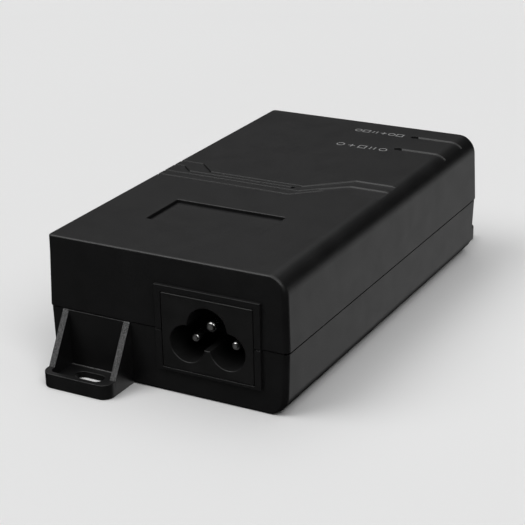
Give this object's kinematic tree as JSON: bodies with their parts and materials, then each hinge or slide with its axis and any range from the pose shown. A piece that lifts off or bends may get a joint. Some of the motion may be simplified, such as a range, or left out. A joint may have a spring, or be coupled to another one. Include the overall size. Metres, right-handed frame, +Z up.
{
  "type": "poe injector",
  "caption": "Power-over-Ethernet injector: flat two-shell box with a three-pin mains inlet, two shielded RJ45 sockets and screw ears on opposite corners.",
  "frame": {"origin": "centre of the footprint, on the surface the injector stands on", "axes": "+X along the length from the mains inlet end to the RJ45 end, +Z up through the lid, +Y towards the side of the inlet end's ear"},
  "size_m": [0.1278, 0.0606, 0.032],
  "materials": {
    "case_plastic": "black, fine spark-eroded grain",
    "inlet_plastic": "black, smoother than the case",
    "pin_plating": "bright nickel plating",
    "shield_metal": "nickel-plated sheet, faint rolling lines",
    "jack_plastic": "black glass-filled plastic",
    "contact_gold": "gold-flashed spring wire",
    "led_lens": "clear epoxy",
    "light_pipe": "clear acrylic",
    "board_laminate": "green solder mask",
    "insulation_film": "milky film",
    "fuse_ceramic": "unglazed tube",
    "film_capacitor": "yellow moulded box",
    "ferrite": "dark sintered ferrite",
    "copper_winding": "enamelled copper wire",
    "chip_epoxy": "black moulding epoxy",
    "capacitor_sleeve": "dark shrink sleeve",
    "heat_sink": "rolled sheet",
    "winding_tape": "yellow polyester tape",
    "disc_capacitor": "blue dipped coat",
    "screw_steel": "black zinc",
    "label_film": "blank silver-grey film"
  },
  "bodies": {
    "root": {"upper_housing": "case_plastic", "lower_housing": "case_plastic", "inlet_body": "inlet_plastic", "line_pin": "pin_plating", "neutral_pin": "pin_plating", "earth_pin": "pin_plating", "lan_jack_shield": "shield_metal", "poe_jack_shield": "shield_metal", "lan_jack_insert": "jack_plastic", "poe_jack_insert": "jack_plastic", "lan_jack_contacts": "contact_gold", "poe_jack_contacts": "contact_gold", "power_led": "led_lens", "activity_led": "led_lens", "power_light_pipe": "light_pipe", "activity_light_pipe": "light_pipe", "main_board": "board_laminate", "insulation_sheet": "insulation_film", "fuse": "fuse_ceramic", "x_capacitor": "film_capacitor", "choke_core": "ferrite", "choke_winding": "copper_winding", "bridge_rectifier": "chip_epoxy", "bulk_capacitor": "capacitor_sleeve", "primary_heat_sink": "heat_sink", "switching_transistor": "chip_epoxy", "transformer_core": "ferrite", "transformer_winding": "winding_tape", "y_capacitor": "disc_capacitor", "optocoupler": "chip_epoxy", "output_inductor": "copper_winding", "output_capacitor_a": "capacitor_sleeve", "output_capacitor_b": "capacitor_sleeve", "secondary_heat_sink": "heat_sink", "output_rectifier": "chip_epoxy", "network_magnetics": "chip_epoxy", "poe_controller": "chip_epoxy", "case_screw_1": "screw_steel", "case_screw_2": "screw_steel", "case_screw_3": "screw_steel", "case_screw_4": "screw_steel", "rating_label": "label_film"}
  },
  "joints": []
}
